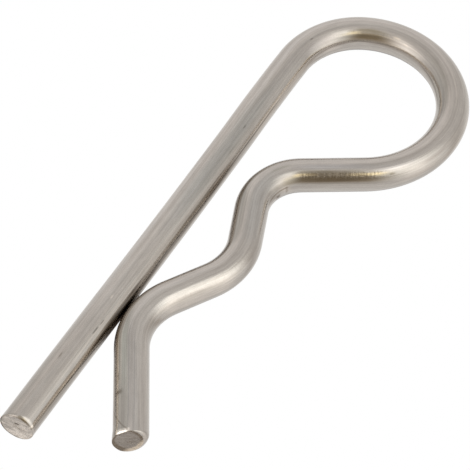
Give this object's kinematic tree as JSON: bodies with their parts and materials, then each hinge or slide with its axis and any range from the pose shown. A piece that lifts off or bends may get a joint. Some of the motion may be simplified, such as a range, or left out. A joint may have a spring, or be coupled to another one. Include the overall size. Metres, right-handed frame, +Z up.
{
  "type": "hitch r clip pin",
  "caption": "R-shaped clip pin bent from round spring wire: a straight leg for a cross hole, a round head, and a sprung leg with a shaft pocket, a nose and a flared tail.",
  "frame": {"origin": "under the middle of the clip, on the surface that it lies on", "axes": "+Y along the straight leg, from its cut end to the head; +X from the straight leg towards the sprung leg; +Z up, across the wire"},
  "size_m": [0.025, 0.0734, 0.004],
  "materials": {
    "spring_wire": "bright drawn spring steel wire, satin, with fine lines along the draw"
  },
  "bodies": {
    "root": {"r_clip": "spring_wire"}
  },
  "joints": []
}
